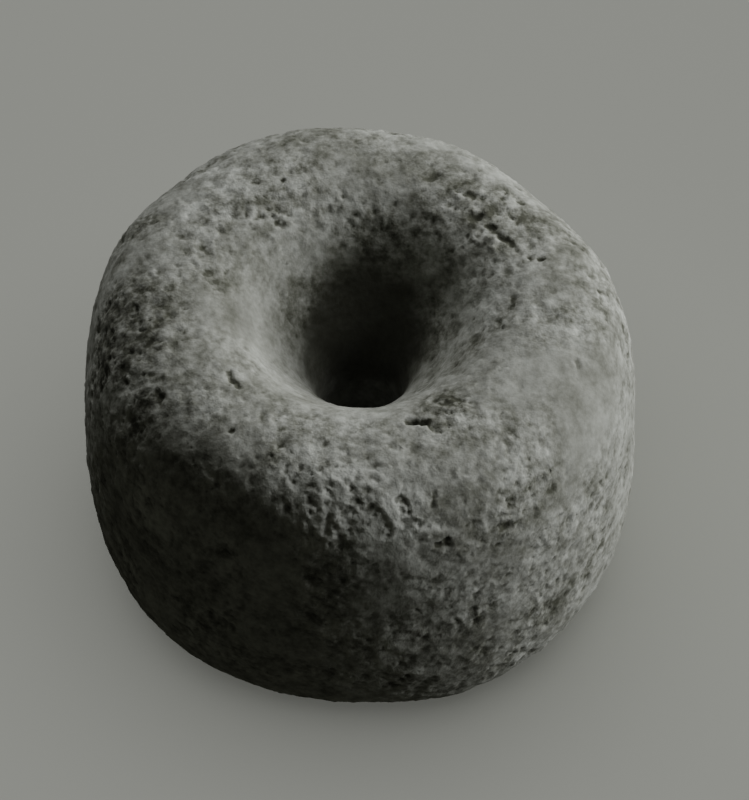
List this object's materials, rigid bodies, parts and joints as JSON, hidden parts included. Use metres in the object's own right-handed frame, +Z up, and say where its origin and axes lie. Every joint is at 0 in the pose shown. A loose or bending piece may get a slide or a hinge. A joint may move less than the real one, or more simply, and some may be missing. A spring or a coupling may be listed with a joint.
{
  "type": "stone spindle whorl",
  "caption": "Thick rounded stone whorl with a central bore that opens into a bowl at each face; it weights a hand spindle.",
  "frame": {"origin": "on the plane that the stone rests on, where the bore's axis meets it", "axes": "+Z up along the bore's axis, out of the upper bowl; the pictured side faces -Y"},
  "size_m": [0.0503, 0.0501, 0.0333],
  "materials": {
    "stone": "matt, pecked and granular"
  },
  "bodies": {
    "root": {"whorl": "stone"}
  },
  "joints": []
}
